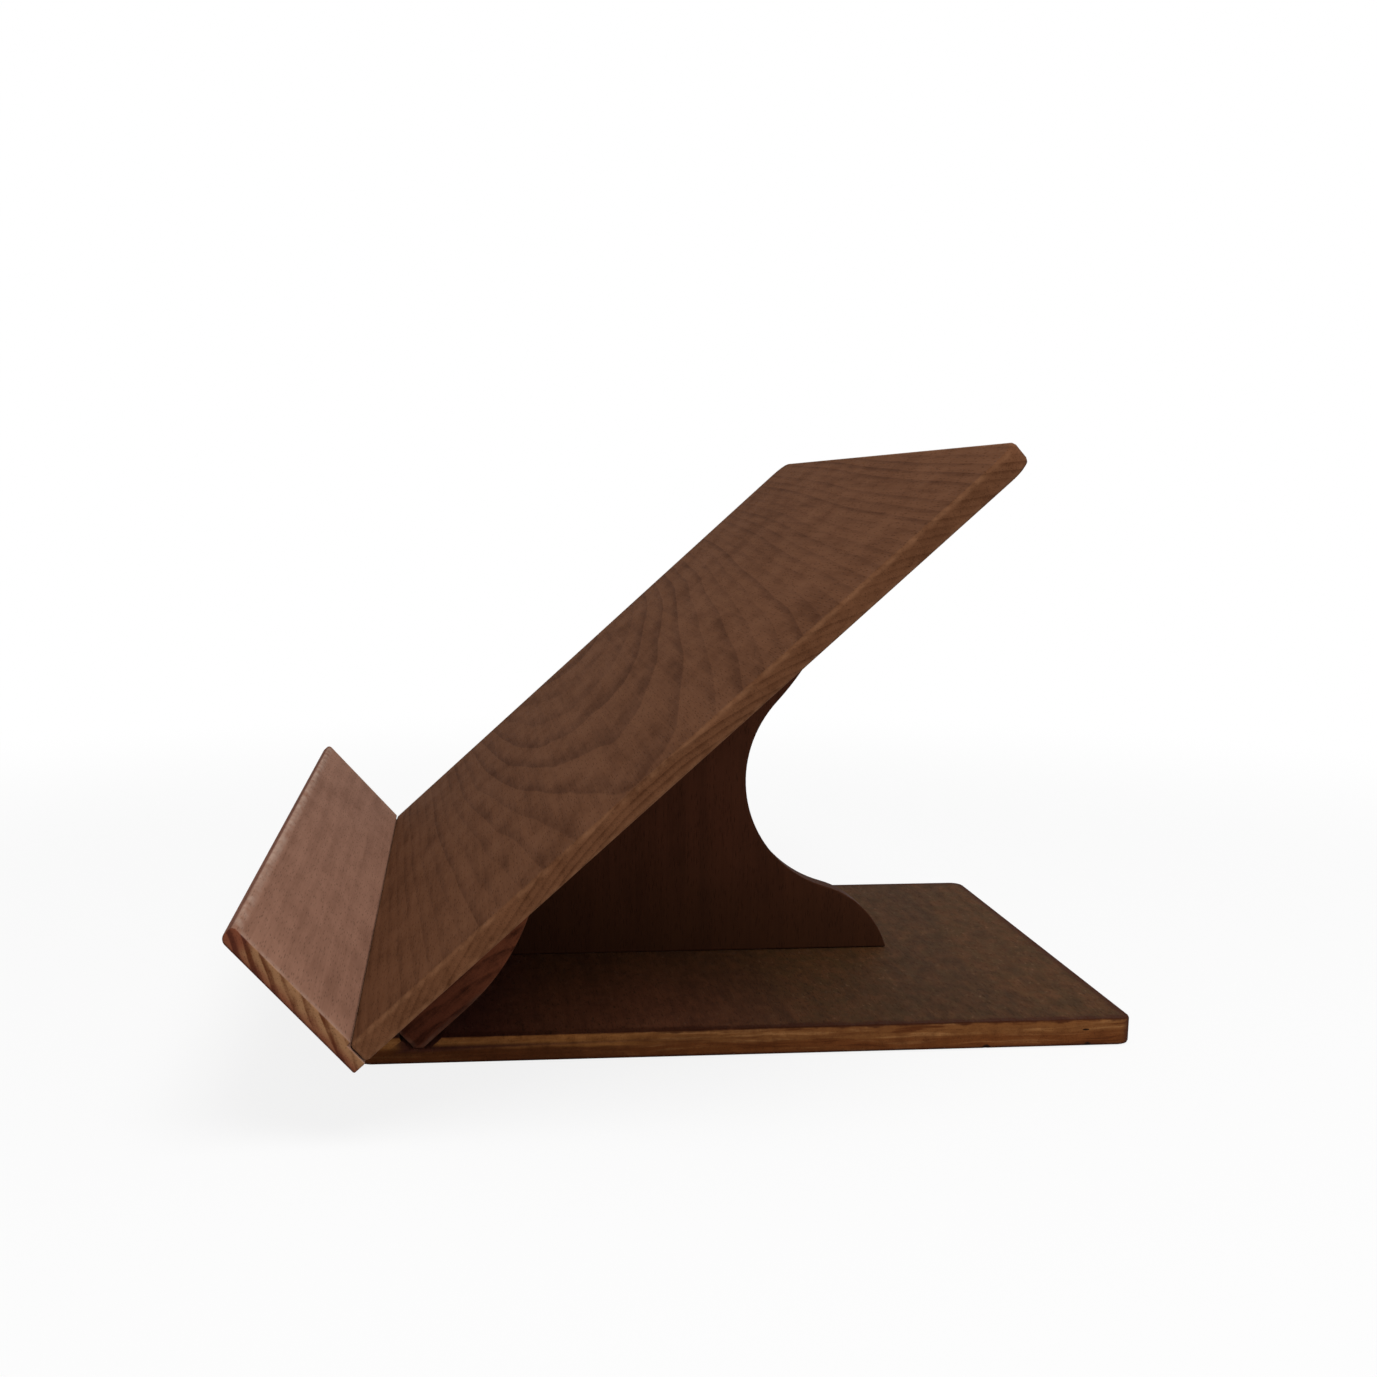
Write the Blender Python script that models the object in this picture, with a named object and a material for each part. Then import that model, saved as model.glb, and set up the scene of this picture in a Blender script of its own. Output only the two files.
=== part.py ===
"""Wooden book stand: a base board, a shaped fin, a leaning back panel and a wide, thin ledge.

Metres, +Z up. The reader sits at -Y, and X runs across the stand. The origin is on the floor,
under the middle of the stand. Each board is an outline extruded by its thickness.
"""
import math

import bmesh
import bpy
from mathutils import Vector

# Base board
base_width = 0.220
base_length = 0.295
base_thickness = 0.0105
base_corner_radius = 0.006
base_arris = 0.0010

# Lean of the back panel, measured from the base; the ledge is square to the panel
slope_angle = math.radians(42)

# Front block: its lower rear corner stands in a trench in the base, its back rounds off upwards
block_thickness = 0.027
block_height = 0.080
block_round_start = 0.024
block_nose = 0.006
block_corner_setback = 0.023
block_corner_sink = 0.006
block_arris = 0.0005

# Trench across the base, tilted with the block and a little wider than it
trench_depth = 0.0046
trench_front_gap = 0.0012
trench_rear_gap = 0.0018

# Ledge that the book stands on
ledge_length = 0.370
ledge_depth = 0.0614
ledge_thickness = 0.0065
ledge_lower_radius = 0.0030
ledge_upper_radius = 0.0018
ledge_arris = 0.0006

# Rebate along the ledge's rear edge that the back panel stands in
rebate_depth = 0.0015

# Back panel that the book leans on
panel_width = 0.370
panel_height = 0.2835
panel_thickness = 0.008
panel_corner_radius = 0.010
panel_arris = 0.0015

# Fin: the arcs of its foot, hollow and shoulder run into each other
fin_thickness = 0.012
fin_toe_setback = 0.0692
fin_foot_radius = 0.0415
fin_foot_sink = 0.0116
fin_hollow_radius = 0.050
fin_hollow_run = 0.0261
fin_shoulder_radius = 0.122
fin_top_setback = 0.018
fin_arris = 0.0005

# Countersunk slotted screws, up through the base into the block and the fin
screw_radius = 0.00175
screw_length = 0.025
screw_point_length = 0.003
screw_head_radius = 0.0035
screw_rim = 0.0003
screw_inset = 0.0003
slot_width = 0.0009
slot_depth = 0.0009
block_screw_edge_distance = 0.025
fin_screw_shares = (0.20, 0.75)

# Dowels from the block and from the fin into the back panel
dowel_length = 0.020
dowel_bite = 0.005
dowel_chamfer = 0.0005
block_dowel_radius = 0.003
block_dowel_height = 0.034
block_dowel_edge_distance = 0.040
fin_dowel_radius = 0.0025
fin_dowel_shares = (0.25, 0.70)

# Thin dowels between the ledge's rear edge and the block
ledge_dowel_radius = 0.00125
ledge_dowel_length = 0.024

# Pins up through the ledge into the back panel's lower edge; the ledge dowels lie between them
pin_radius = 0.00075
pin_length = 0.020
pin_point_length = 0.002
pin_head_radius = 0.0013
pin_head_height = 0.0006
pin_inset = 0.0003
pin_shares = (-0.90, -0.55, -0.20, 0.20, 0.55, 0.90)
ledge_dowel_shares = (-0.375, 0, 0.375)

# Fits and fineness
seat_gap = 0.0003
cut_overrun = 0.002
weld_distance = 0.000001
chord_deviation = 0.00002
largest_arc_step = math.radians(9)
sharp_angle = math.radians(35)
turned_steps = 20
arris_segments = 2

# Places that follow from the sizes above
slope_sin = math.sin(slope_angle)
slope_cos = math.cos(slope_angle)
ledge_reach = (ledge_depth - ledge_lower_radius) * slope_sin + ledge_lower_radius * (1 - slope_cos)
foot_from_front = block_corner_setback - block_thickness * slope_sin
foot_level = base_thickness + block_thickness * slope_cos - block_corner_sink
base_rear = (base_length + ledge_reach - foot_from_front) / 2
base_front = base_rear - base_length
panel_foot = Vector((base_front + foot_from_front, foot_level))
rebate_floor = ledge_thickness - rebate_depth
panel_bottom = rebate_floor + seat_gap
panel_top = panel_bottom + panel_height
fin_reach = panel_top - fin_top_setback
fin_floor = base_thickness + seat_gap
block_floor = base_thickness - trench_depth + seat_gap
block_round_depth = block_thickness - block_nose
block_round_rise = block_height - block_round_start
block_round_radius = (block_round_rise ** 2 + block_round_depth ** 2) / (2 * block_round_depth)
block_round_centre = Vector((block_round_start, block_thickness - block_round_radius))

# Ways to lay an outline or a turned piece in its parent's frame
flat = (0, 0, 0)
side_on = (math.pi / 2, 0, math.pi / 2)
up_slope = (-math.pi / 2, 0, 0)


def on_slope(along, behind):
    """Side view point (y, z), so far up the slope from the panel's foot and behind its rear face."""
    step = Vector((along * slope_cos + behind * slope_sin, along * slope_sin - behind * slope_cos))
    return panel_foot + step


def behind_at(level, along):
    """How far behind the panel's rear face the line square to it, so far up the slope, meets a level."""
    return (panel_foot.y + along * slope_sin - level) / slope_cos


def along_at(level, behind):
    """How far up the slope the line parallel to the panel, so far behind it, meets a level."""
    return (level - panel_foot.y + behind * slope_cos) / slope_sin


def direction(start, end):
    """The angle of the line from one point to another, from 0 to a full turn."""
    return math.atan2(end[1] - start[1], end[0] - start[0]) % math.tau


def arc(centre, radius, start, end):
    """Points from one angle to another on a circle, close enough for the chords to pass as the arc."""
    arc_step = min(largest_arc_step, 2 * math.acos(1 - chord_deviation / radius))
    steps = max(1, math.ceil(abs(end - start) / arc_step))
    angles = [start + (end - start) * step / steps for step in range(steps + 1)]
    return [Vector(centre) + radius * Vector((math.cos(angle), math.sin(angle))) for angle in angles]


def crossing(centre_a, radius_a, centre_b, radius_b):
    """Where two circles cross, on the left as one looks from the first centre to the second."""
    span = centre_b - centre_a
    along = span.normalized()
    reach = (span.length_squared + radius_a ** 2 - radius_b ** 2) / (2 * span.length)
    aside = math.sqrt(radius_a ** 2 - reach ** 2)
    return centre_a + reach * along + aside * Vector((-along.y, along.x))


def rounded(corners):
    """An outline from (x, y, radius) corners, anticlockwise, each corner replaced by an arc."""
    outline = []
    for index, (x, y, radius) in enumerate(corners):
        corner = Vector((x, y))
        if not radius:
            outline.append(corner)
            continue
        before = (Vector(corners[index - 1][:2]) - corner).normalized()
        after = (Vector(corners[(index + 1) % len(corners)][:2]) - corner).normalized()
        half_angle = before.angle(after) / 2
        middle = corner + (before + after).normalized() * radius / math.sin(half_angle)
        start = direction(middle, corner + before * radius / math.tan(half_angle))
        outline += arc(middle, radius, start, start + math.pi - 2 * half_angle)
    return outline


def finish(name, colour, roughness, metallic=0):
    """A Principled material in one plain colour."""
    material = bpy.data.materials.new(name)
    material.use_nodes = True
    shader = material.node_tree.nodes["Principled BSDF"]
    shader.inputs["Base Color"].default_value = (*colour, 1)
    shader.inputs["Roughness"].default_value = roughness
    shader.inputs["Metallic"].default_value = metallic
    return material


def place(name, mesh, parent, location, rotation, material):
    """Makes a bmesh a named object that hangs on its parent."""
    bmesh.ops.remove_doubles(mesh, verts=mesh.verts, dist=weld_distance)
    bmesh.ops.recalc_face_normals(mesh, faces=mesh.faces)
    data = bpy.data.meshes.new(name)
    mesh.to_mesh(data)
    mesh.free()
    data.shade_smooth()
    data.set_sharp_from_angle(angle=sharp_angle)
    if material:
        data.materials.append(material)
    piece = bpy.data.objects.new(name, data)
    piece.parent = parent
    piece.location = location
    piece.rotation_euler = rotation
    bpy.context.collection.objects.link(piece)
    return piece


def board(name, outline, thickness, parent, location, rotation, material=None):
    """A board: a closed outline extruded by its thickness."""
    mesh = bmesh.new()
    face = mesh.faces.new([mesh.verts.new((x, y, 0)) for x, y in outline])
    grown = bmesh.ops.extrude_face_region(mesh, geom=[face])
    moved = [item for item in grown["geom"] if isinstance(item, bmesh.types.BMVert)]
    bmesh.ops.translate(mesh, verts=moved, vec=(0, 0, thickness))
    return place(name, mesh, parent, location, rotation, material)


def turned(name, section, parent, location, rotation, material=None):
    """A piece turned about its Z from a half section, (radius, height) pairs from axis to axis."""
    mesh = bmesh.new()
    points = [mesh.verts.new((radius, 0, height)) for radius, height in section]
    edges = [mesh.edges.new(pair) for pair in zip(points, points[1:])]
    bmesh.ops.spin(
        mesh, geom=points + edges, axis=(0, 0, 1), angle=math.tau, steps=turned_steps, use_merge=True)
    return place(name, mesh, parent, location, rotation, material)


def ease(piece, width):
    """Takes the sharpness off a board's edges."""
    bevel = piece.modifiers.new("arris", "BEVEL")
    bevel.width = width
    bevel.segments = arris_segments
    bevel.limit_method = "ANGLE"
    bevel.angle_limit = sharp_angle


def cut(piece, *cutters):
    """Takes the shape of one or more cutters out of a piece."""
    boolean = piece.modifiers.new(cutters[0].name, "BOOLEAN")
    boolean.operation = "DIFFERENCE"
    boolean.solver = "EXACT"
    boolean.operand_type = "COLLECTION"
    boolean.collection = bpy.data.collections.new(cutters[0].name)
    for cutter in cutters:
        boolean.collection.objects.link(cutter)
        cutter.hide_render = True
        cutter.display_type = "WIRE"


def fin_outline():
    """Side view of the fin: up the block's back and the panel, then down its own rear edge to the toe."""
    block_line = block_thickness + seat_gap
    round_radius = block_round_radius + seat_gap
    round_end = math.acos((block_round_rise + seat_gap) / round_radius)
    block_back = arc(block_round_centre, round_radius, math.pi / 2, round_end)
    front_corner = on_slope(along_at(fin_floor, block_line), block_line)
    block_top = on_slope(block_height + seat_gap, seat_gap)
    top = on_slope(fin_reach, seat_gap)

    toe_y = base_rear - fin_toe_setback
    foot_span = math.sqrt(fin_foot_radius ** 2 - fin_foot_sink ** 2)
    foot = Vector((toe_y - foot_span, base_thickness - fin_foot_sink))
    hollow_rise = math.sqrt((fin_foot_radius + fin_hollow_radius) ** 2 - fin_hollow_run ** 2)
    hollow = foot + Vector((fin_hollow_run, hollow_rise))
    shoulder = crossing(hollow, fin_hollow_radius + fin_shoulder_radius, top, fin_shoulder_radius)
    toe_angle = math.asin((fin_floor - foot.y) / fin_foot_radius)
    shoulder_end = direction(shoulder, hollow) - math.tau
    shoulder_start = math.atan2(top.y - shoulder.y, top.x - shoulder.x)

    return [
        front_corner,
        *[on_slope(*point) for point in block_back],
        block_top,
        *arc(shoulder, fin_shoulder_radius, shoulder_start, shoulder_end),
        *arc(hollow, fin_hollow_radius, direction(hollow, shoulder), direction(hollow, foot))[1:],
        *arc(foot, fin_foot_radius, direction(foot, hollow), toe_angle)[1:],
    ]


def block_outline():
    """Section of the block, as (up the slope, towards the reader): its lower rear corner is cut level."""
    round_end = math.acos(block_round_rise / block_round_radius)
    section = [
        Vector((0, seat_gap)),
        Vector((0, behind_at(block_floor, 0))),
        Vector((along_at(block_floor, block_thickness), block_thickness)),
        *arc(block_round_centre, block_round_radius, math.pi / 2, round_end),
        Vector((block_height, seat_gap)),
    ]
    return [(along, -behind) for along, behind in section]


def trench_outline():
    """Side view of the trench's cutter, with walls square and parallel to the panel."""
    floor = base_thickness - trench_depth
    above = base_thickness + cut_overrun
    front = -trench_front_gap
    rear = block_thickness + trench_rear_gap
    return [
        on_slope(front, behind_at(above, front)),
        on_slope(front, behind_at(floor, front)),
        on_slope(along_at(floor, rear), rear),
        on_slope(along_at(above, rear), rear),
    ]


def screw_section(swell=0, overrun=0):
    """Half section of a screw, head down; swell and overrun make it the section of its hole."""
    head = screw_head_radius + swell
    shank = screw_radius + swell
    start = screw_inset - overrun
    rim = screw_inset + screw_rim
    tip = screw_inset + screw_length + swell
    neck = rim + head - shank
    taper = tip - screw_point_length
    return [(0, start), (head, start), (head, rim), (shank, neck), (shank, taper), (0, tip)]


def dowel_section(radius, length):
    """Half section of a dowel with chamfered ends."""
    inner = radius - dowel_chamfer
    upper = length - dowel_chamfer
    return [(0, 0), (inner, 0), (radius, dowel_chamfer), (radius, upper), (inner, length), (0, length)]


def dowel_hole(radius, length):
    """Half section of the hole that a dowel sits in."""
    wall = radius + seat_gap
    return [(0, -seat_gap), (wall, -seat_gap), (wall, length + seat_gap), (0, length + seat_gap)]


def pin_section(swell=0, overrun=0):
    """Half section of a pin, head down; swell and overrun make it the section of its hole."""
    head = pin_head_radius + swell
    shank = pin_radius + swell
    start = pin_inset - overrun
    rim = pin_inset + pin_head_height + swell
    tip = pin_inset + pin_length + swell
    return [(0, start), (head, start), (head, rim), (shank, rim), (shank, tip - pin_point_length), (0, tip)]


def screw_slot(name, screw):
    """The cutter of the slot in a screw's head."""
    mesh = bmesh.new()
    height = cut_overrun + slot_depth
    box = bmesh.ops.create_cube(mesh, size=1)["verts"]
    bmesh.ops.scale(mesh, verts=box, vec=(2 * (screw_head_radius + cut_overrun), slot_width, height))
    bmesh.ops.translate(mesh, verts=box, vec=(0, 0, screw_inset + slot_depth - height / 2))
    return place(name, mesh, screw, (0, 0, 0), flat, None)


def fasteners(name, section, hole, parent, locations, rotation, material, boards):
    """Numbered pieces of one kind, each in its own hole in the boards that it joins."""
    pieces = []
    drills = []
    for number, location in enumerate(locations, 1):
        pieces.append(turned(f"{name}_{number}", section, parent, location, rotation, material))
        drills.append(turned(f"{name}_hole_{number}", hole, parent, location, rotation))
    for piece in boards:
        cut(piece, *drills)
    return pieces


for old_object in list(bpy.data.objects):
    bpy.data.objects.remove(old_object, do_unlink=True)

# Finishes: stained boards, bare dowels, brass screws, steel pins
base_stain = finish("base_stain", (0.105, 0.052, 0.028), 0.55)
block_stain = finish("block_stain", (0.090, 0.042, 0.022), 0.60)
fin_stain = finish("fin_stain", (0.085, 0.040, 0.020), 0.55)
panel_stain = finish("panel_stain", (0.115, 0.058, 0.032), 0.50)
ledge_stain = finish("ledge_stain", (0.165, 0.085, 0.050), 0.50)
beech = finish("beech", (0.55, 0.38, 0.22), 0.70)
screw_brass = finish("screw_brass", (0.62, 0.46, 0.22), 0.35, metallic=1)
pin_steel = finish("pin_steel", (0.50, 0.50, 0.50), 0.40, metallic=1)

# Frames: the whole stand, and the slope at the foot of the panel's rear face
stand = bpy.data.objects.new("stand", None)
slope = bpy.data.objects.new("slope", None)
slope.parent = stand
slope.location = (0, panel_foot.x, panel_foot.y)
slope.rotation_euler = (slope_angle, 0, 0)
for frame in (stand, slope):
    bpy.context.collection.objects.link(frame)

# Boards
base_board = board(
    "base_board",
    rounded([
        (-base_width / 2, base_front, base_corner_radius),
        (base_width / 2, base_front, base_corner_radius),
        (base_width / 2, base_rear, base_corner_radius),
        (-base_width / 2, base_rear, base_corner_radius),
    ]),
    base_thickness, stand, (0, 0, 0), flat, base_stain)
ease(base_board, base_arris)

front_block = board(
    "front_block", block_outline(), base_width,
    slope, (-base_width / 2, 0, 0), side_on, block_stain)
ease(front_block, block_arris)

support_fin = board(
    "support_fin", fin_outline(), fin_thickness,
    stand, (-fin_thickness / 2, 0, 0), side_on, fin_stain)
ease(support_fin, fin_arris)

back_panel = board(
    "back_panel",
    rounded([
        (-panel_width / 2, panel_bottom, 0),
        (panel_width / 2, panel_bottom, 0),
        (panel_width / 2, panel_top, panel_corner_radius),
        (-panel_width / 2, panel_top, panel_corner_radius),
    ]),
    panel_thickness, slope, (0, 0, 0), flat, panel_stain)
ease(back_panel, panel_arris)

book_ledge = board(
    "book_ledge",
    rounded([
        (0, 0, 0),
        (rebate_floor, 0, 0),
        (rebate_floor, panel_thickness + seat_gap, 0),
        (ledge_thickness, panel_thickness + seat_gap, 0),
        (ledge_thickness, ledge_depth, ledge_upper_radius),
        (0, ledge_depth, ledge_lower_radius),
    ]),
    ledge_length, slope, (-ledge_length / 2, 0, 0), side_on, ledge_stain)
ease(book_ledge, ledge_arris)

# Trench in the base for the block's corner
cut(base_board, board("trench", trench_outline(), base_width + 2 * cut_overrun, stand,
                      (-base_width / 2 - cut_overrun, 0, 0), side_on))

# Screws up through the base: a row into the block, the others along the fin
block_screw_x = base_width / 2 - block_screw_edge_distance
block_screw_y = on_slope(0, behind_at(block_floor, 0)).x
block_screws = fasteners(
    "block_screw", screw_section(), screw_section(seat_gap, cut_overrun), stand,
    [(x, block_screw_y, 0) for x in (-block_screw_x, 0, block_screw_x)], flat, screw_brass,
    (base_board, front_block))

fin_front = on_slope(along_at(fin_floor, block_thickness), block_thickness).x
fin_length = base_rear - fin_toe_setback - fin_front
fin_screws = fasteners(
    "fin_screw", screw_section(), screw_section(seat_gap, cut_overrun), stand,
    [(0, fin_front + share * fin_length, 0) for share in fin_screw_shares], flat, screw_brass,
    (base_board, support_fin))

for screw in block_screws + fin_screws:
    cut(screw, screw_slot(f"{screw.name}_slot", screw))

# Dowels square to the panel: a row in the block, the others up the fin
dowel_start = dowel_bite - dowel_length
block_dowel_x = base_width / 2 - block_dowel_edge_distance
fasteners(
    "block_dowel", dowel_section(block_dowel_radius, dowel_length),
    dowel_hole(block_dowel_radius, dowel_length), slope,
    [(x, block_dowel_height, dowel_start) for x in (-block_dowel_x, 0, block_dowel_x)], flat, beech,
    (front_block, back_panel))

fin_run = fin_reach - block_height
fasteners(
    "fin_dowel", dowel_section(fin_dowel_radius, dowel_length),
    dowel_hole(fin_dowel_radius, dowel_length), slope,
    [(0, block_height + share * fin_run, dowel_start) for share in fin_dowel_shares], flat, beech,
    (support_fin, back_panel))

# Dowels between the ledge's rear edge and the block
ledge_dowel_start = -ledge_dowel_length / 2
fasteners(
    "ledge_dowel", dowel_section(ledge_dowel_radius, ledge_dowel_length),
    dowel_hole(ledge_dowel_radius, ledge_dowel_length), slope,
    [(share * panel_width / 2, rebate_floor / 2, ledge_dowel_start) for share in ledge_dowel_shares],
    flat, beech, (book_ledge, front_block))

# Pins up through the ledge into the panel's lower edge
fasteners(
    "ledge_pin", pin_section(), pin_section(seat_gap, cut_overrun), slope,
    [(share * panel_width / 2, 0, panel_thickness / 2) for share in pin_shares], up_slope, pin_steel,
    (book_ledge, back_panel))
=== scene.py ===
# %% [markdown]
# # Finishing a wooden book stand
# The stand is plain joinery: a flat base, a thick block let into a tilted trench, a shaped fin, a
# panel that leans back at 42 degrees, and a wide, thin ledge at its foot. The solids already
# exist, so this lesson is about what makes them look like stained wood: growth layers that run
# through a board, fibres, open pores, stain that took unevenly, and the small marks that use
# leaves. Every pattern is a formula in real sizes, so it follows the board from its face round to
# its end, as real grain does.

# %% Load the solids
import math

import bmesh
import bpy
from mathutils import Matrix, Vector
from mathutils.bvhtree import BVHTree


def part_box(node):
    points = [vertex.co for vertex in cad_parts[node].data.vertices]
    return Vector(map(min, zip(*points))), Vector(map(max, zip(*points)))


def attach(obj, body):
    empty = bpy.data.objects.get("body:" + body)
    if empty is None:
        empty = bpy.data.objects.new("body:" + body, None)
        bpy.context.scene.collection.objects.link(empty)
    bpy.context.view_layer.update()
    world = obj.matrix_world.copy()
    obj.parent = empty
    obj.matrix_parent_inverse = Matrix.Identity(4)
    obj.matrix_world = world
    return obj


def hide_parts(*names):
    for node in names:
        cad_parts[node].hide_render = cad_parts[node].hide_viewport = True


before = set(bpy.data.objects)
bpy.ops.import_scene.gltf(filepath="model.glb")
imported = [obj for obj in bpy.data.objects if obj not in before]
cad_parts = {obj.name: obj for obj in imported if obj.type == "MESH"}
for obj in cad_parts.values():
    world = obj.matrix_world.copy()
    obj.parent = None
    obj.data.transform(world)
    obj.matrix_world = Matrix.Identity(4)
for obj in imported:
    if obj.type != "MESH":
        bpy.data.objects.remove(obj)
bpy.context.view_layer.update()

base_low, base_high = [Vector(corner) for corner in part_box("base_board")]

# %% [markdown]
# ## The camera
# The picture to match was taken from the stand's right side, a little above it. Three things fix
# such a camera: where it stands, which way it points, and how long its lens is. The edges of the
# base gave all three, measured in widths of the base from its nearest rear corner. The picture is
# a crop, so the lens axis isn't at its middle, and a small lens shift stands for that. The camera
# is level, so two turns aim it: down by its pitch, and from straight across towards the rear.

# %% Place the camera
PICTURE_SIZE = 1377
FOCAL_PIXELS = 1603
LENS_AXIS_PIXEL = (592, 791)
CAMERA_PITCH = math.radians(10.46)
CAMERA_TURN = math.radians(4.52)
CAMERA_IN_BASE_WIDTHS = Vector((2.581, -1.148, 0.893))
SENSOR_WIDTH = 36
NEAREST_SEEN = 0.01

base_width = base_high.x - base_low.x
camera_place = base_high + CAMERA_IN_BASE_WIDTHS * base_width

lens = bpy.data.cameras.new("camera")
lens.sensor_width = SENSOR_WIDTH
lens.lens = SENSOR_WIDTH * FOCAL_PIXELS / PICTURE_SIZE
lens.shift_x = 0.5 - LENS_AXIS_PIXEL[0] / PICTURE_SIZE
lens.shift_y = LENS_AXIS_PIXEL[1] / PICTURE_SIZE - 0.5
lens.clip_start = NEAREST_SEEN
camera = bpy.data.objects.new("camera", lens)
camera.location = camera_place
camera.rotation_euler = (math.radians(90) - CAMERA_PITCH, 0, math.radians(90) - CAMERA_TURN)
bpy.context.collection.objects.link(camera)
bpy.context.scene.camera = camera
print("lens", round(lens.lens, 2), "mm, camera at", [round(value, 4) for value in camera_place])

# %% [markdown]
# ## Nodes written as arithmetic
# A pattern is a sum: so much growth layer, so much fibre, less where a pore is. Wiring that by
# hand takes dozens of Math nodes. The first class below wraps one socket and overloads the signs
# of arithmetic, so that an expression such as `1 - pores * 0.5` adds its own nodes. The second
# holds a tree of nodes and makes every other kind of node in one way. The third is a material,
# whose tree starts from a Principled shader.
#
# Positions are in metres. So the fineness of a noise is the number of its grains that fit in a
# metre, along each direction. Detail adds finer noise to it, and roughness makes that stronger.

# %% A socket that can be calculated with
class Wire:
    """One output socket; arithmetic on it adds Math nodes to its tree."""

    def __init__(self, maker, socket):
        self.maker = maker
        self.socket = socket

    def maths(self, operation, *values):
        return self.maker.node("Math", {"operation": operation}, *values)

    def __add__(self, other):
        return self.maths("ADD", self, other)

    def __sub__(self, other):
        return self.maths("SUBTRACT", self, other)

    def __mul__(self, other):
        return self.maths("MULTIPLY", self, other)

    def __truediv__(self, other):
        return self.maths("DIVIDE", self, other)

    def __rsub__(self, other):
        return self.maths("SUBTRACT", other, self)

    def __rtruediv__(self, other):
        return self.maths("DIVIDE", other, self)

    __radd__ = __add__
    __rmul__ = __mul__

    def size(self):
        return self.maths("ABSOLUTE", self)

    def fraction(self):
        return self.maths("FRACT", self)

    def least(self, other):
        return self.maths("MINIMUM", self, other)

    def most(self, other):
        return self.maths("MAXIMUM", self, other)

    def hypotenuse(self, other):
        return self.maths("SQRT", self * self + other * other)

    def rises(self, low, high):
        """0 below low and 1 above high, with a smooth step; it falls where high is the lower."""
        settings = {"interpolation_type": "SMOOTHSTEP"}
        limits = min(low, high), max(low, high)
        start, end = (0.0, 1.0) if low < high else (1.0, 0.0)
        return self.maker.node("MapRange", settings, self, *limits, start, end)


# %% A tree that makes its own nodes
MIX_FIRST, MIX_SECOND, MIX_RESULT = 6, 7, 2


class Nodes:
    """A node tree, with one method that makes any node."""

    def __init__(self, tree):
        self.tree = tree

    def feed(self, socket, value):
        """Links a wire to a socket, or sets the socket's own value."""
        if isinstance(value, Wire):
            self.tree.links.new(value.socket, socket)
        elif isinstance(value, (tuple, Vector)) and socket.type == "RGBA":
            socket.default_value = (*value[:3], 1)
        else:
            socket.default_value = value

    def fill(self, node, **sockets):
        """Feeds a node's sockets by name, with underscores for spaces."""
        for name, value in sockets.items():
            self.feed(node.inputs[name.replace("_", " ")], value)

    def node(self, kind, settings, *values, output=0, **named):
        """Makes a node: its settings first, then its sockets, in order or by name."""
        made = self.tree.nodes.new("ShaderNode" + kind)
        for name, value in settings.items():
            setattr(made, name, value)
        for number, value in enumerate(values):
            self.feed(made.inputs[number], value)
        self.fill(made, **named)
        return Wire(self, made.outputs[output])

    def parts(self, vector):
        """The x, y and z of a vector."""
        split = self.node("SeparateXYZ", {}, vector).socket.node
        return [Wire(self, socket) for socket in split.outputs]

    def point(self, x, y, z):
        return self.node("CombineXYZ", {}, x, y, z)

    def blend(self, share, first, second):
        """A colour between two colours."""
        mixer = self.node("Mix", {"data_type": "RGBA"}, share).socket.node
        self.feed(mixer.inputs[MIX_FIRST], first)
        self.feed(mixer.inputs[MIX_SECOND], second)
        return Wire(self, mixer.outputs[MIX_RESULT])

    def coat(self, colour, *coats):
        """A colour with coats over it, each given as the share it covers and its colour."""
        for share, over in coats:
            colour = self.blend(share, colour, over)
        return colour

    def cloud(self, place, fineness, detail=2.0, roughness=0.5):
        """Soft noise from 0 to 1; the fineness is its grains to a metre, for each direction."""
        where = self.point(*[value * grains for value, grains in zip(place, fineness)])
        named = {"Vector": where, "Scale": 1.0, "Detail": detail, "Roughness": roughness}
        return self.node("TexNoise", {}, **named)


# %% A material to start from
class Finish(Nodes):
    """A Principled material and its nodes."""

    def __init__(self, name):
        self.material = bpy.data.materials.new(name)
        self.material.use_nodes = True
        super().__init__(self.material.node_tree)
        self.shader = self.tree.nodes["Principled BSDF"]
        self.place = self.node("TexCoord", {}, output="Object")
        self.facing = self.node("TexCoord", {}, output="Normal")

    def wear(self, **sockets):
        """Feeds the shader's sockets by name."""
        self.fill(self.shader, **sockets)

    def count(self):
        print(self.material.name, "has", len(self.tree.nodes), "nodes")


# %% Colours as a screen shows them
def linear(value):
    """One of a screen's levels, 0 to 255, as linear light, by the sRGB formula."""
    level = value / 255
    return level / 12.92 if level <= 0.04045 else ((level + 0.055) / 1.055) ** 2.4


def tone(red, green, blue):
    """A colour as a screen shows it, in the linear light that nodes work in."""
    return linear(red), linear(green), linear(blue)


print("tone of the stain", [round(value, 3) for value in tone(96, 58, 32)])

# %% [markdown]
# ## Grain has a direction
# Wood is the same in every direction but three: along the fibres, around the trunk, and out from
# its heart. So a board's pattern starts with a frame of its own. The panel, the ledge and the
# block lean, so their frame leans with them: a Mapping node set to TEXTURE moves it to the foot of
# the panel and turns it by 42 degrees. In the fin the fibres stand upright.

# %% Frames for the grain
SLOPE_ANGLE = math.radians(42)
SLOPE_FOOT = (0, -0.12511, 0.02456)


def lying_grain(finish):
    """Along, across and through the base: X, Y and Z."""
    return finish.parts(finish.place)


def leaning_grain(finish):
    """Along X, up the slope, and square to it towards the reader."""
    named = {"Vector": finish.place, "Location": SLOPE_FOOT, "Rotation": (SLOPE_ANGLE, 0, 0)}
    return finish.parts(finish.node("Mapping", {"vector_type": "TEXTURE"}, **named))


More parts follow.
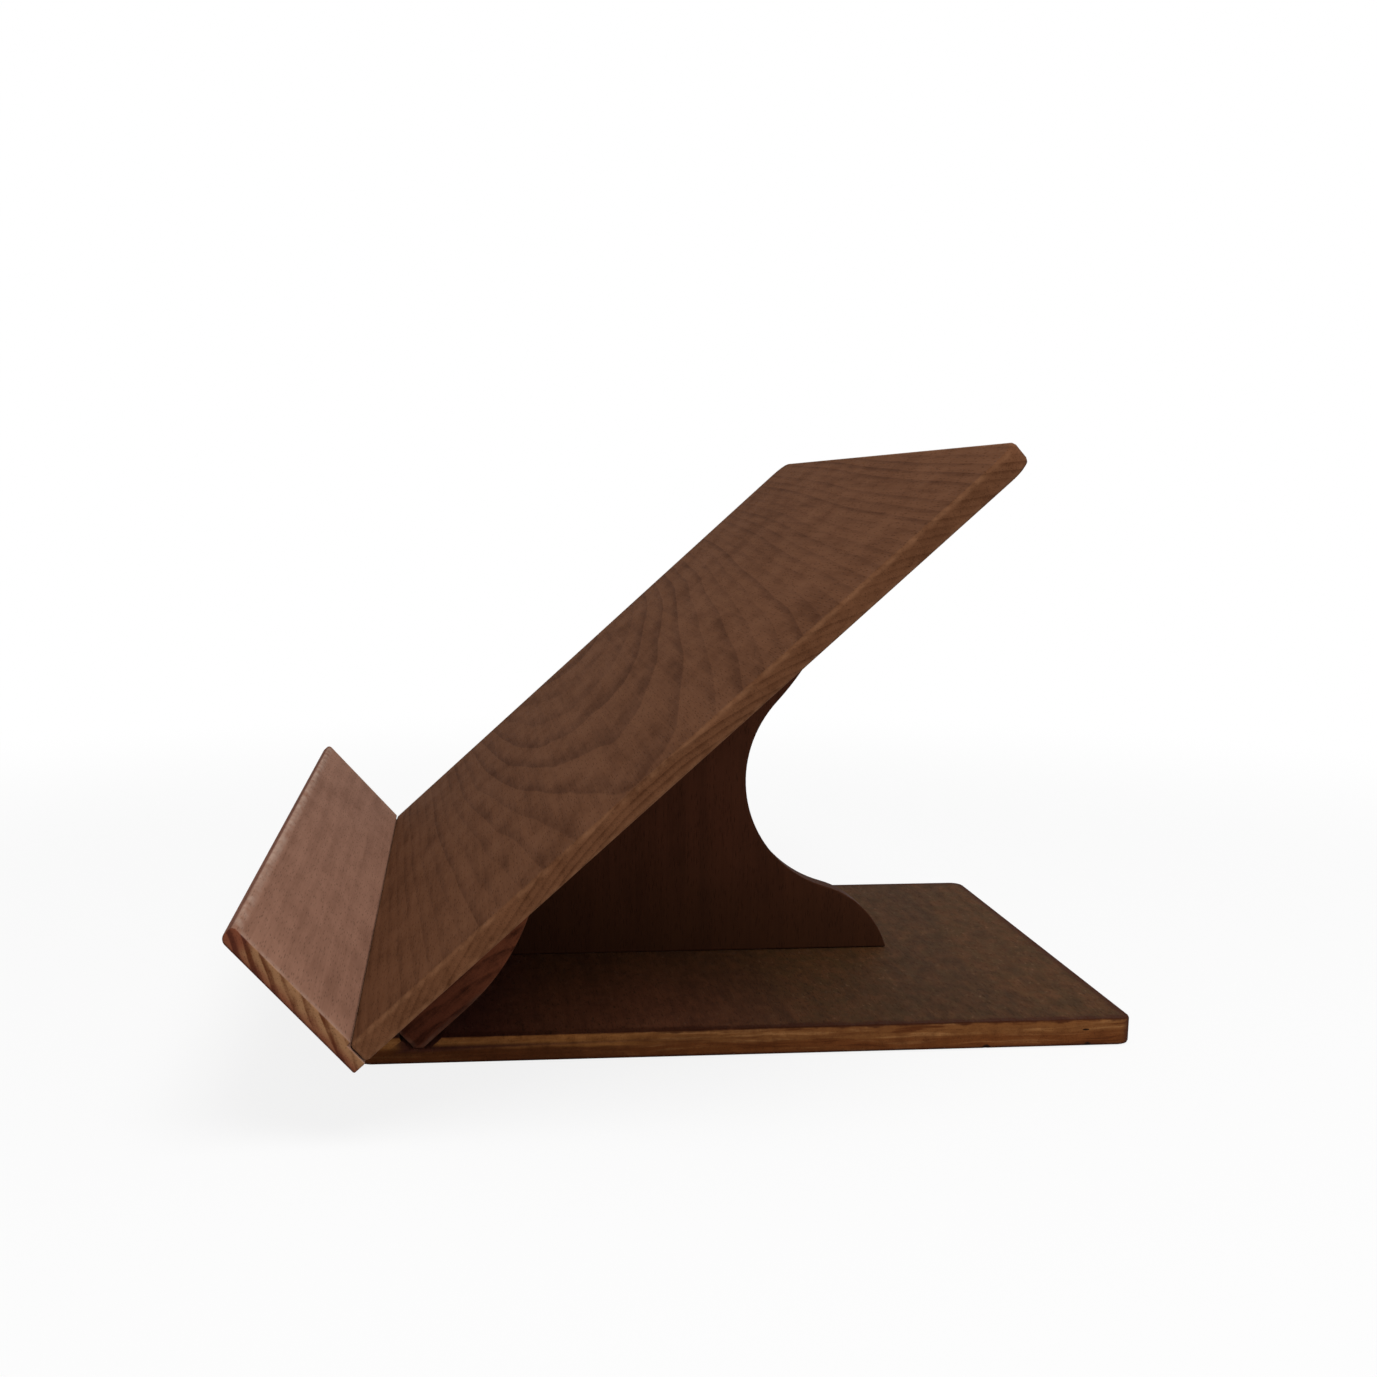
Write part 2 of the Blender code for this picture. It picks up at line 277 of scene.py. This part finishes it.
def standing_grain(finish):
    """Along the upright fibres of the fin, then from front to rear, then through it."""
    x, y, z = finish.parts(finish.place)
    return z, y, x


print("the grain leans by", round(math.degrees(SLOPE_ANGLE), 1), "degrees about", SLOPE_FOOT)

# %% [markdown]
# ## Growth layers
# Each year a tree lays one ring round its heart: pale early wood, then a thin dark line of late
# wood. A saw cuts a slice out of those rings, so the pattern is found in the same way. The
# distance from the heart, divided by the width of a ring, counts the rings, and the fraction of
# that count is the place within one ring. A trunk tapers, so the distance also changes a little
# along the fibres, which turns the lines on a flat face into long arches. Slow noise makes the
# rings wander, and noise read once per ring makes some of them darker than others.

# %% Count the rings
DRIFT_IN_RINGS = 4
RIPPLE_IN_RINGS = 0.6
FAINTEST_RING = 0.4


def growth_rings(finish, grain, heart, ring, taper=0.0, wander=0.5, late_start=0.2, late_end=0.94):
    """1 on dark late wood and 0 on pale early wood; the heart is a point across and through."""
    along, across, through = grain
    drift = finish.cloud(grain, (4, 11, 11), detail=0.5) - 0.5
    ripple = finish.cloud(grain, (14, 90, 90), detail=0) - 0.5
    distance = (across - heart[0]).hypotenuse(through + along * taper - heart[1])
    straight = distance / ring
    count = straight + drift * (DRIFT_IN_RINGS * wander) + ripple * (RIPPLE_IN_RINGS * wander)
    place = count.fraction()
    late = place.rises(late_start, late_end) * place.rises(1.0, late_end)
    which_ring = (count - place, 0.4, 0.7)
    darkness = finish.cloud(which_ring, (3.3, 1, 1), detail=0).rises(0.3, 0.7)
    return late * (FAINTEST_RING + darkness * (1 - FAINTEST_RING))


# %% [markdown]
# ## Fibres, pores and stain
# Three finer patterns lie over the rings. Fibres are noise stretched about forty to one along the
# grain. Open pores are short dark dashes on a face and dots on an end, which is what a stretched
# Voronoi cell gives when it is cut both ways. Stain soaks in unevenly, so soft clouds shift the
# tone.

# %% Fibres
def fibres(finish, grain):
    """1 on a dark fibre and 0 on a pale one."""
    fine = finish.cloud(grain, (45, 1800, 1800), detail=3)
    broad = finish.cloud(grain, (9, 330, 330))
    return fine * 0.5 + broad * 0.5


# %% Pores
PORE_LENGTH = 0.006
PORE_SPACING = 0.0007
PORE_SIZE = 0.34


def pores(finish, grain):
    """1 in an open pore."""
    along, across, through = grain
    where = finish.point(along / PORE_LENGTH, across / PORE_SPACING, through / PORE_SPACING)
    cells = finish.node("TexVoronoi", {}, Vector=where, Scale=1.0)
    return cells.rises(PORE_SIZE, PORE_SIZE * 0.3)


# %% Uneven stain
def stain_clouds(finish, grain, closeness):
    """1 where the most stain went in; the clouds shrink as their closeness grows."""
    closer = [value * closeness for value in grain]
    return finish.cloud(closer, (32, 75, 75), detail=5, roughness=0.62)


# %% [markdown]
# ## Ends and arrises
# Two more masks say where on the board a point is. An end is where the surface faces along the
# grain, and there the rings show strongly. An arris, the eased edge between two faces, is where a
# point is near two faces of the board at once. Of its three gaps to a face the middle one is small
# only there. Some arrises are darker, and rubbing hands pale others.

# %% Find ends and arrises
def end_grain(finish, axis):
    """1 where the surface faces along the fibres."""
    return finish.parts(finish.facing)[axis].size().rises(0.45, 0.85)


def face_gaps(grain, low, high):
    """How far a point lies inside a board's three pairs of faces."""
    return [(value - start).least(stop - value) for value, start, stop in zip(grain, low, high)]


def arris(gaps, width):
    """1 at the edges of a board, from its three gaps."""
    along_gap, across_gap, through_gap = gaps
    lower = along_gap.least(across_gap)
    upper = along_gap.most(across_gap)
    return lower.most(upper.least(through_gap)).rises(width, width * 0.3)


def rub_arrises(finish, grain, box, colour, rubbed, width=0.0022, share=0.4):
    """Pales a board's arrises unevenly, as handling does."""
    place = finish.parts(finish.place)
    patchy = finish.cloud(place, (120, 210, 210), detail=4).rises(0.25, 0.75)
    return finish.blend(arris(face_gaps(grain, *box), width) * patchy * share, colour, rubbed)


# %% [markdown]
# ## The stained board
# One recipe serves all five boards. Two tones of the same stain are mixed by a depth, which adds
# up the rings, the fibres and the clouds. The stain hides most of the rings on a face and few on
# an end, so each board says how deep its rings go. Pores darken the mix. Fibres and pores also
# feed the bump, and pores and clouds the roughness, so that a highlight breaks where the colour
# does. Oiled wood is dull, so the mirror part of its shine is turned down on the shader's own
# socket.

# %% Mix one board's stain
MIDDLE_DEPTH = 0.38
MIDDLE_RING = 0.3
PORE_TONE = tone(26, 14, 8)
WOOD_DULLNESS = 0.78
WOOD_SHINE = 0.06
GRAIN_RELIEF = 0.00015


def stained_wood(
        finish, grain, rings, ring_depth, pale, dark,
        cloudiness=0.9, closeness=1.0, relief=0.0, shine=WOOD_SHINE):
    """Sets the relief, dullness and shine of a stained board, and returns its colour."""
    fibre = fibres(finish, grain)
    cloud = stain_clouds(finish, grain, closeness)
    open_pores = pores(finish, grain)
    ring_share = MIDDLE_DEPTH + (rings - MIDDLE_RING) * ring_depth
    depth = ring_share + (fibre - 0.5) * 0.8 + (cloud - 0.5) * cloudiness
    height = fibre * 0.5 - open_pores + relief
    finish.wear(
        Roughness=WOOD_DULLNESS + open_pores * 0.15 + (cloud - 0.5) * 0.2,
        Specular_IOR_Level=shine,
        Normal=finish.node("Bump", {}, Strength=0.3, Distance=GRAIN_RELIEF, Height=height),
    )
    return finish.coat(pale, (depth.rises(0.0, 1.0), dark), (open_pores * 0.4, PORE_TONE))


# %% [markdown]
# ## Base board
# The base lies flat, with its fibres across the stand. Its top is mottled, with olive and red
# patches where the stain took differently. Towards the front it is painted lighter and redder,
# which is painted light, and along the fin and by the block it is painted darker, which is painted
# shade. It is crumpled all over, so one noise gives both the relief and small dark spots of painted
# shade, and pale spots on it are painted highlights.
#
# Its ends are worn to a warmer tone, and show level layers: a dark line on the upper arris, a pale
# streaked band, and a redder band that ends in a second dark line, which is painted contact shade.
# Towards the front the upper band is painted lighter and the lower band darker, which is painted
# light and shade, and the dark upper line is weaker there. Two chips are missing from the lower
# arris, a short pit lies in the pale band, and the lip of the trench is torn in front of the block.
# Each is a pebble-shaped hollow or a row of them, and their list serves twice: here to paint shade
# into them, and later to cut them.

# %% Chips
BASE_END = base_high.x
CHIPS = [
    (Vector((BASE_END, 0.1076, 0.0)), Vector((0.0012, 0.0015, 0.0014))),
    (Vector((BASE_END, 0.1471, 0.0)), Vector((0.0010, 0.0012, 0.0014))),
    (Vector((BASE_END, 0.1462, 0.0066)), Vector((0.0003, 0.0011, 0.0003))),
    (Vector((BASE_END, -0.1127, 0.0101)), Vector((0.0012, 0.0009, 0.0009))),
    (Vector((BASE_END, -0.1113, 0.0089)), Vector((0.0010, 0.0006, 0.0006))),
    (Vector((BASE_END, -0.1103, 0.0080)), Vector((0.0010, 0.0006, 0.0006))),
]
CHIP_RIM = (1.35, 1.05)


def chip_mask(finish, chips):
    """1 in the hollows."""
    mask = 0.0
    for place, size in chips:
        offset = finish.node("VectorMath", {"operation": "SUBTRACT"}, finish.place, place)
        scaled = finish.node("VectorMath", {"operation": "DIVIDE"}, offset, size)
        length = finish.node("VectorMath", {"operation": "LENGTH"}, scaled, output="Value")
        mask = length.rises(*CHIP_RIM).most(mask)
    return mask


print(len(CHIPS), "hollows in the base's end")

# %% Mottle the top
BESIDE_FIN = (0.010, 0.090)
FRONT_HALF = (0.06, -0.02)
BY_BLOCK = (-0.05, -0.09)

base_finish = Finish("base_stain")
grain = lying_grain(base_finish)
x, y, z = grain
# The front mask is painted light: the top is lighter and redder towards the front, and less so
# beside the fin, which is painted shade along the fin.
front = y.rises(*FRONT_HALF) * (0.35 + x.size().rises(*BESIDE_FIN) * 0.65)
# The mask by the block is painted shade: a darker, redder tone at the front of the top.
painted_shade_by_block = y.rises(*BY_BLOCK)
patch = base_finish.cloud(grain, (110, 150, 110), detail=5, roughness=0.65)
blotch = base_finish.cloud(grain, (42, 58, 42), detail=4, roughness=0.6)
# The rough noise gives both relief and small dark spots of painted shade; the scuff noise gives
# pale spots on the base that are painted highlights.
relief_and_shade_spots = base_finish.cloud(grain, (240, 540, 240), detail=5, roughness=0.68)
scuffs_and_highlights = base_finish.cloud(grain, (260, 620, 260), detail=4, roughness=0.7)
top_pale = base_finish.coat(
    tone(72, 49, 26),  # olive
    (patch.rises(0.38, 0.62), tone(82, 51, 28)),  # warmer patches
    (blotch.rises(0.56, 0.72) * 0.6, tone(97, 62, 34)),  # pale blotches
    (blotch.rises(0.44, 0.30) * 0.6, tone(56, 38, 19)),  # dark blotches
    (front * 0.8, tone(122, 73, 50)),  # redder towards the front
    (painted_shade_by_block * 0.8, tone(82, 42, 34)),  # dark red by the block
    (relief_and_shade_spots.rises(0.44, 0.30) * 0.85, tone(48, 29, 15)),  # small dark spots
    (scuffs_and_highlights.rises(0.58, 0.72) * 0.7, tone(120, 88, 64)))  # pale scuffs
top_dark = base_finish.coat(
    tone(50, 32, 18), (front, tone(74, 42, 28)), (painted_shade_by_block * 0.8, tone(50, 24, 20)))
base_finish.count()

# %% Layer the ends
BAND_CHANGE = (0.0064, 0.0048)
BRIGHTER_FRONT = (0.0, -0.055)

wave = base_finish.cloud(grain, (60, 34, 120)) - 0.5
height = z + wave * 0.0036
lower_band = height.rises(*BAND_CHANGE)
streak = base_finish.cloud((x, y, height), (90, 30, 560), detail=4, roughness=0.6)
# The glow is painted light on the upper band towards the front and painted shade on the lower band
# there.
glow = y.rises(*BRIGHTER_FRONT) * (0.8 - painted_shade_by_block * 0.3)
painted_upper_light = glow * (1 - lower_band)
painted_lower_shade = glow * lower_band
end_pale = base_finish.coat(
    tone(116, 73, 38),  # the pale band
    (lower_band, tone(102, 57, 26)),  # the redder band
    (streak.rises(0.51, 0.64) * (1 - lower_band * 0.6), tone(144, 99, 59)),  # pale streaks
    (streak.rises(0.44, 0.36), tone(80, 40, 15)),  # dark streaks
    (painted_upper_light, tone(168, 112, 60)),
    (painted_lower_shade, tone(88, 46, 22)))
end_dark = base_finish.coat(
    tone(88, 50, 24),
    (lower_band, tone(76, 39, 16)),
    (painted_upper_light, tone(112, 64, 30)),
    (painted_lower_shade, tone(60, 31, 14)))
base_finish.count()

# %% Base board
LOWEST_LINE = (0.0018, 0.0004)

end = end_grain(base_finish, 0)
rings = growth_rings(base_finish, grain, heart=(0.0, 2.2), ring=0.0052)
colour = stained_wood(
    base_finish, grain, rings, ring_depth=0.2,
    pale=base_finish.blend(end, top_pale, end_pale),
    dark=base_finish.blend(end, top_dark, end_dark),
    cloudiness=1.1, closeness=2.6, relief=relief_and_shade_spots * (1 - end) * 6)
uneven = base_finish.cloud(grain, (130, 130, 130), detail=4)
gaps = face_gaps(grain, base_low, base_high)
# The dark line is broad on the top and thin on the end, and it wavers.
gaps[0] = gaps[0] * 0.75 + (uneven - 0.5) * 0.006
gaps[2] = gaps[2] * 3.6 + (uneven - 0.42) * 0.010
base_finish.wear(Base_Color=base_finish.coat(
    colour,
    # The dark line on the upper arris is weaker where the glow is painted light.
    (arris(gaps, width=0.0046) * (0.85 - glow * 0.6), tone(54, 22, 8)),
    # The lowest dark line on the end is painted contact shade.
    (z.rises(*LOWEST_LINE) * end * 0.7, tone(44, 18, 8)),
    # The hollows get painted shade.
    (chip_mask(base_finish, CHIPS) * 0.9, tone(28, 14, 7))))
base_finish.count()

# %% [markdown]
# ## Front block
# The block's ends show broad wavy layers that run up the slope, a little flatter than the slope
# itself, in red-brown and a lighter brown. Fine streaks along the layers break them up, and the
# foot of the block's end is painted darker, which is painted shade.

# %% Front block
BLOCK_BOX = (-0.110, 0.0, -0.027), (0.110, 0.080, -0.0003)
BLOCK_FOOT = (0.055, 0.005)

block_finish = Finish("block_stain")
grain = leaning_grain(block_finish)
along, up_slope, depth = grain
end = end_grain(block_finish, 0)
rings = growth_rings(
    block_finish, grain, heart=(-0.07, -0.5), ring=0.0052,
    wander=0.7, late_start=0.05, late_end=0.8)
flatter = (along, up_slope * 2 - depth, depth)
streak = block_finish.cloud(flatter, (60, 60, 700), detail=5, roughness=0.6)
rings = rings * (1 - end * 0.35) + (streak - 0.5) * end * 1.6
# The foot of the block's end is painted darker: painted shade.
end_pale = block_finish.blend(up_slope.rises(*BLOCK_FOOT), tone(108, 59, 38), tone(88, 44, 28))
colour = stained_wood(
    block_finish, grain, rings, ring_depth=0.25 + end * 0.6,
    pale=block_finish.blend(end, tone(84, 52, 36), end_pale),
    dark=block_finish.blend(end, tone(52, 29, 18), tone(48, 18, 8)))
block_finish.wear(
    Base_Color=rub_arrises(block_finish, grain, BLOCK_BOX, colour, rubbed=tone(122, 92, 76)))
block_finish.count()

# %% [markdown]
# ## Fin
# The fin's fibres stand upright, so its sides show faint vertical streaks, and its curved rear edge
# passes from long grain to end grain and back. Its foot is darker than its upper part.

# %% Fin
FIN_FOOT = (0.025, 0.085)

fin_finish = Finish("fin_stain")
grain = standing_grain(fin_finish)
up = grain[0]
end = end_grain(fin_finish, 2)
rings = growth_rings(fin_finish, grain, heart=(-0.05, -0.12), ring=0.0046, taper=0.02)
height = up + fin_finish.cloud(grain, (25, 25, 25)) * 0.02
fin_finish.wear(Base_Color=stained_wood(
    fin_finish, grain, rings, ring_depth=0.12 + end * 0.34,
    pale=fin_finish.blend(height.rises(*FIN_FOOT), tone(65, 36, 20), tone(81, 44, 28)),
    dark=tone(51, 27, 16), cloudiness=0.75))
fin_finish.count()

# %% [markdown]
# ## Back panel
# The panel is the show face. It is sawn flat, close to the heart of the tree: the rings come out
# on it as long arches up its middle and as straight lines towards its top and foot. Fewer hands
# touch it, so it shines less than the other boards.

# %% Back panel
PANEL_BOX = (-0.185, 0.0053, 0.0), (0.185, 0.2888, 0.008)
PANEL_SHINE = 0.02

panel_finish = Finish("panel_stain")
grain = leaning_grain(panel_finish)
rings = growth_rings(
    panel_finish, grain, heart=(0.13, -0.20), ring=0.0023, taper=0.035, late_start=0.35)
colour = stained_wood(
    panel_finish, grain, rings, ring_depth=0.27,
    pale=tone(103, 67, 45), dark=tone(60, 32, 16), shine=PANEL_SHINE)
panel_finish.wear(
    Base_Color=rub_arrises(panel_finish, grain, PANEL_BOX, colour, rubbed=tone(138, 98, 70)))
panel_finish.count()

# %% [markdown]
# ## Ledge
# The ledge gets the most light, and its top is painted paler than its other faces, which is painted
# light. Its ends show steep golden layers between dark lines, broken up by fine streaks that run
# along with them, and a dark line along the lower arris. Its rounded front edge is redder, and so
# is its underside.

# %% Find the ledge's faces
LEDGE_BOX = (-0.185, 0.0, -0.02), (0.185, 0.0065, 0.0614)
FRONT_EDGE = (0.050, 0.056)
UNDERSIDE = (0.0060, 0.0024)

ledge_finish = Finish("ledge_stain")
grain = leaning_grain(ledge_finish)
along, up_slope, depth = grain
end = end_grain(ledge_finish, 0)
_, facing_y, facing_z = ledge_finish.parts(ledge_finish.facing)
top = (facing_y * math.cos(SLOPE_ANGLE) + facing_z * math.sin(SLOPE_ANGLE)).rises(0.3, 0.75)
soak = ledge_finish.cloud(grain, (80, 300, 160)) * 0.004
red = depth.rises(*FRONT_EDGE).most((up_slope + soak).rises(*UNDERSIDE) * 0.9)
ledge_finish.count()

# %% Ledge
LOWER_ARRIS = (0.0012, 0.0003)
RUBBED_FRONT = (0.052, 0.058)
RUBBED_ENDS = (0.178, 0.184)

rings = growth_rings(
    ledge_finish, grain, heart=(0.8, -0.33), ring=0.0040,
    wander=0.6, late_start=0.1, late_end=0.8)
steep = (along, up_slope * 2.2 - depth, depth)
streak = ledge_finish.cloud(steep, (60, 500, 120), detail=5, roughness=0.6)
rings = rings + (streak - 0.5) * end * 0.9
end_pale = ledge_finish.blend(red, tone(138, 99, 68), tone(112, 62, 42))
end_dark = ledge_finish.blend(red, tone(84, 43, 22), tone(76, 36, 24))
# The top's paler tones are painted light.
pale = ledge_finish.blend(top, tone(112, 70, 52), tone(146, 107, 88))
dark = ledge_finish.blend(top, tone(74, 42, 30), tone(106, 72, 56))
colour = stained_wood(
    ledge_finish, grain, rings, ring_depth=0.15 + end * 0.95,
    pale=ledge_finish.blend(end, pale, end_pale), dark=ledge_finish.blend(end, dark, end_dark))
lower_arris = up_slope.rises(*LOWER_ARRIS) * end * 0.65
colour = ledge_finish.blend(lower_arris, colour, tone(52, 24, 15))
rubbing = (depth.rises(*RUBBED_FRONT) * 0.75).most(along.size().rises(*RUBBED_ENDS) * 0.35)
ledge_finish.wear(Base_Color=rub_arrises(
    ledge_finish, grain, LEDGE_BOX, colour, rubbed=tone(176, 150, 134),
    width=0.0044, share=rubbing * top))
ledge_finish.count()

# %% [markdown]
# ## Fasteners
# Brass screws, steel pins and bare beech dowels hold the boards together. The screws and pins show
# from below. Fine noise in the roughness keeps their heads from looking like mirrors.

# %% Fasteners
def even_noise(finish, fineness, detail=3):
    """Noise that is equally fine in every direction."""
    return finish.cloud(finish.parts(finish.place), (fineness, fineness, fineness), detail=detail)


brass_finish = Finish("brass")
tarnish = even_noise(brass_finish, 900, detail=4)
brass_finish.wear(
    Base_Color=brass_finish.blend(tarnish.rises(0.35, 0.75), tone(196, 164, 96), tone(128, 96, 48)),
    Metallic=1.0, Roughness=0.25 + tarnish * 0.3)

steel_finish = Finish("steel")
scuffs_and_highlights = even_noise(steel_finish, 1600)
steel_finish.wear(
    Base_Color=steel_finish.blend(scuffs_and_highlights, tone(190, 188, 184), tone(130, 128, 125)),
    Metallic=1.0, Roughness=0.3 + scuffs_and_highlights * 0.25)

beech_finish = Finish("beech")
fleck = even_noise(beech_finish, 500)
beech_finish.wear(
    Base_Color=beech_finish.blend(fleck, tone(214, 176, 132), tone(176, 132, 90)), Roughness=0.7)

for finish in (brass_finish, steel_finish, beech_finish):
    finish.count()

# %% [markdown]
# ## One continuous surface for each board
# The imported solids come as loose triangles, each lit flat, so a curve would show facets. A copy
# with its triangles joined can be shaded smooth. Only edges sharper than an eased arris stay
# sharp, and the Weighted Normal modifier lets the large faces decide, so they stay flat.

# %% Join and smooth the boards
WELD = 0.000002
SHARP = math.radians(50)
LARGE_FACES_DECIDE = 100


def joined_copy(node):
    """A copy of a CAD board's mesh with its triangles joined."""
    shape = bmesh.new()
    shape.from_mesh(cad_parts[node].data)
    bmesh.ops.remove_doubles(shape, verts=shape.verts, dist=WELD)
    open_edges = sum(1 for edge in shape.edges if len(edge.link_faces) != 2)
    mesh = bpy.data.meshes.new(f"{node}_finished")
    shape.to_mesh(mesh)
    shape.free()
    piece = bpy.data.objects.new(f"{node}_finished", mesh)
    bpy.context.collection.objects.link(piece)
    print(node, len(mesh.polygons), "triangles,", open_edges, "open edges")
    return piece


def smooth_board(piece, node, finish):
    """Shades a joined copy smooth, gives it its finish, and puts it in the CAD board's place."""
    mesh = piece.data
    mesh.shade_smooth()
    mesh.set_sharp_from_angle(angle=SHARP)
    mesh.materials.clear()
    mesh.materials.append(finish.material)
    weighted = piece.modifiers.new("flat faces", "WEIGHTED_NORMAL")
    weighted.keep_sharp = True
    weighted.weight = LARGE_FACES_DECIDE
    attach(piece, "root")
    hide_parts(node)


# %% [markdown]
# ## Cut the chips
# A hollow that can be seen is cut into the shape. Each pebble is a small sphere with three
# different sizes, and a Boolean modifier, whose result is then kept, takes the pebbles away.

# %% Cut the chips
def chip_away(piece, chips):
    """Takes pebbles out of a piece and keeps the result as its mesh."""
    shape = bmesh.new()
    for place, size in chips:
        made = bmesh.ops.create_icosphere(shape, subdivisions=2, radius=1)
        bmesh.ops.scale(shape, verts=made["verts"], vec=size)
        bmesh.ops.translate(shape, verts=made["verts"], vec=place)
    pebbles_mesh = bpy.data.meshes.new("pebbles")
    shape.to_mesh(pebbles_mesh)
    shape.free()
    pebbles = bpy.data.objects.new("pebbles", pebbles_mesh)
    bpy.context.collection.objects.link(pebbles)
    cut = piece.modifiers.new("chips", "BOOLEAN")
    cut.operation = "DIFFERENCE"
    cut.solver = "EXACT"
    cut.object = pebbles
    graph = bpy.context.evaluated_depsgraph_get()
    chipped = bpy.data.meshes.new_from_object(piece.evaluated_get(graph))
    piece.modifiers.remove(cut)
    piece.data = chipped
    bpy.data.objects.remove(pebbles)
    print(piece.name, "has", len(chips), "hollows and", len(chipped.polygons), "faces")


# %% [markdown]
# ## Close the scribed joint
# The fin's front edge was cut to the curve of the block's back. The solids keep a hair's breadth
# between them, and on a curve some line of sight always runs right through it, so a thread of
# light would show. The points of the fin nearest the block are moved up to it, as a joiner would
# plane and glue that joint.

# %% Close a joint
JOINT_REACH = 0.0006
JOINT_SLACK = 0.00003


def close_joint(piece, node):
    """Moves a piece's points that lie close to a CAD board almost onto it."""
    shape = bmesh.new()
    shape.from_mesh(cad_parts[node].data)
    surface = BVHTree.FromBMesh(shape)
    shape.free()
    moved = 0
    for vertex in piece.data.vertices:
        nearest, _, _, gap = surface.find_nearest(vertex.co)
        if JOINT_SLACK < gap < JOINT_REACH:
            vertex.co = nearest + (vertex.co - nearest) * (JOINT_SLACK / gap)
            moved += 1
    print(piece.name, "closed on", node, "at", moved, "points")


# %% [markdown]
# ## Dress the stand
# Now each board is joined, given its stain and smoothed in turn. Only the base has chips, and only
# the fin has a scribed edge. The fasteners are small and mostly hidden, so they keep their solids
# and only get their metal or wood.

# %% Finish the boards
BOARD_FINISHES = {
    "base_board": base_finish, "front_block": block_finish, "support_fin": fin_finish,
    "back_panel": panel_finish, "book_ledge": ledge_finish,
}
for node, finish in BOARD_FINISHES.items():
    piece = joined_copy(node)
    if node == "base_board":
        chip_away(piece, CHIPS)
    if node == "support_fin":
        close_joint(piece, "front_block")
    smooth_board(piece, node, finish)

# %% Give the fasteners their finish
FASTENER_FINISHES = {"screw": brass_finish, "pin": steel_finish, "dowel": beech_finish}
for name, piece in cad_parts.items():
    for word, finish in FASTENER_FINISHES.items():
        if word in name:
            piece.material_slots[0].material = finish.material
            print(name, "in", finish.material.name)

# %% [markdown]
# ## Floor, background and light
# The stand is on a white ground. A lamp strong enough to turn a floor white would bleach the wood,
# so the whiteness is given only to the rays that show it: the camera's own, and those that reach
# it by a mirror or through something clear, so that the metal shows it too. The Light Path node
# tells them apart. Near the stand the floor keeps a part of its true shade, which is the stand's
# soft shadow. Further off it keeps none, so that no horizon shows. It lies a hair's breadth below
# the stand, so that no two faces share one plane.

# %% Find the rays that show things
def showing(maker):
    """1 for a ray that shows what it meets, and 0 for one that only fetches light."""
    camera_ray, mirror_ray, clear_ray = [
        maker.node("LightPath", {}, output=name)
        for name in ("Is Camera Ray", "Is Glossy Ray", "Is Transmission Ray")]
    return camera_ray.most(mirror_ray).most(clear_ray)


# %% Floor
FLOOR_REACH = 4
FLOOR_DEPTH = 0.0002
NEAR_WHITENESS = 0.85
SHADOW_FADES = (0.3, 0.9)
PALE_GREY = (0.8, 0.8, 0.8)
WHITE = (1, 1, 1)

shape = bmesh.new()
bmesh.ops.create_grid(shape, x_segments=1, y_segments=1, size=FLOOR_REACH)
bmesh.ops.translate(shape, verts=shape.verts, vec=(0, 0, -FLOOR_DEPTH))
floor_mesh = bpy.data.meshes.new("floor")
shape.to_mesh(floor_mesh)
shape.free()
floor = bpy.data.objects.new("floor", floor_mesh)
bpy.context.collection.objects.link(floor)

floor_finish = Finish("floor")
floor_finish.wear(Base_Color=PALE_GREY, Roughness=0.9)
lit = Wire(floor_finish, floor_finish.shader.outputs[0])
glow = floor_finish.node("Emission", {}, Color=WHITE, Strength=1.0)
x, y, _ = floor_finish.parts(floor_finish.place)
whiteness = NEAR_WHITENESS + x.hypotenuse(y).rises(*SHADOW_FADES) * (1 - NEAR_WHITENESS)
mixed = floor_finish.node("MixShader", {}, showing(floor_finish) * whiteness, lit, glow)
floor_finish.fill(floor_finish.tree.nodes["Material Output"], Surface=mixed)
floor_mesh.materials.append(floor_finish.material)
print("floor", FLOOR_REACH * 2, "m wide")

# %% Surroundings
AMBIENT = 0.34

world = bpy.data.worlds.new("studio")
world.use_nodes = True
bpy.context.scene.world = world
sky = Nodes(world.node_tree)
sky.fill(sky.tree.nodes["Background"], Color=WHITE, Strength=AMBIENT)
ambient = Wire(sky, sky.tree.nodes["Background"].outputs[0])
white = sky.node("Background", {}, Color=WHITE, Strength=1.0)
chosen = sky.node("MixShader", {}, showing(sky), ambient, white)
sky.fill(sky.tree.nodes["World Output"], Surface=chosen)
bpy.context.scene.view_settings.view_transform = "Standard"
print("light from all sides at", AMBIENT)


# %% Lamps
def soft_lamp(name, place, aim, size, power):
    """A square lamp that faces a point."""
    light = bpy.data.lights.new(name, "AREA")
    light.shape = "SQUARE"
    light.size = size
    light.energy = power
    lamp = bpy.data.objects.new(name, light)
    lamp.location = place
    lamp.rotation_euler = (Vector(aim) - Vector(place)).to_track_quat("-Z", "Y").to_euler()
    bpy.context.collection.objects.link(lamp)
    print(name, power, "W from", place)


soft_lamp("key", place=(0.5, 0.22, 1.3), aim=(0, 0, 0.05), size=0.8, power=14.5)
soft_lamp("fill", place=(1.1, -0.2, 0.16), aim=(0.1, -0.06, 0.02), size=0.6, power=1.7)
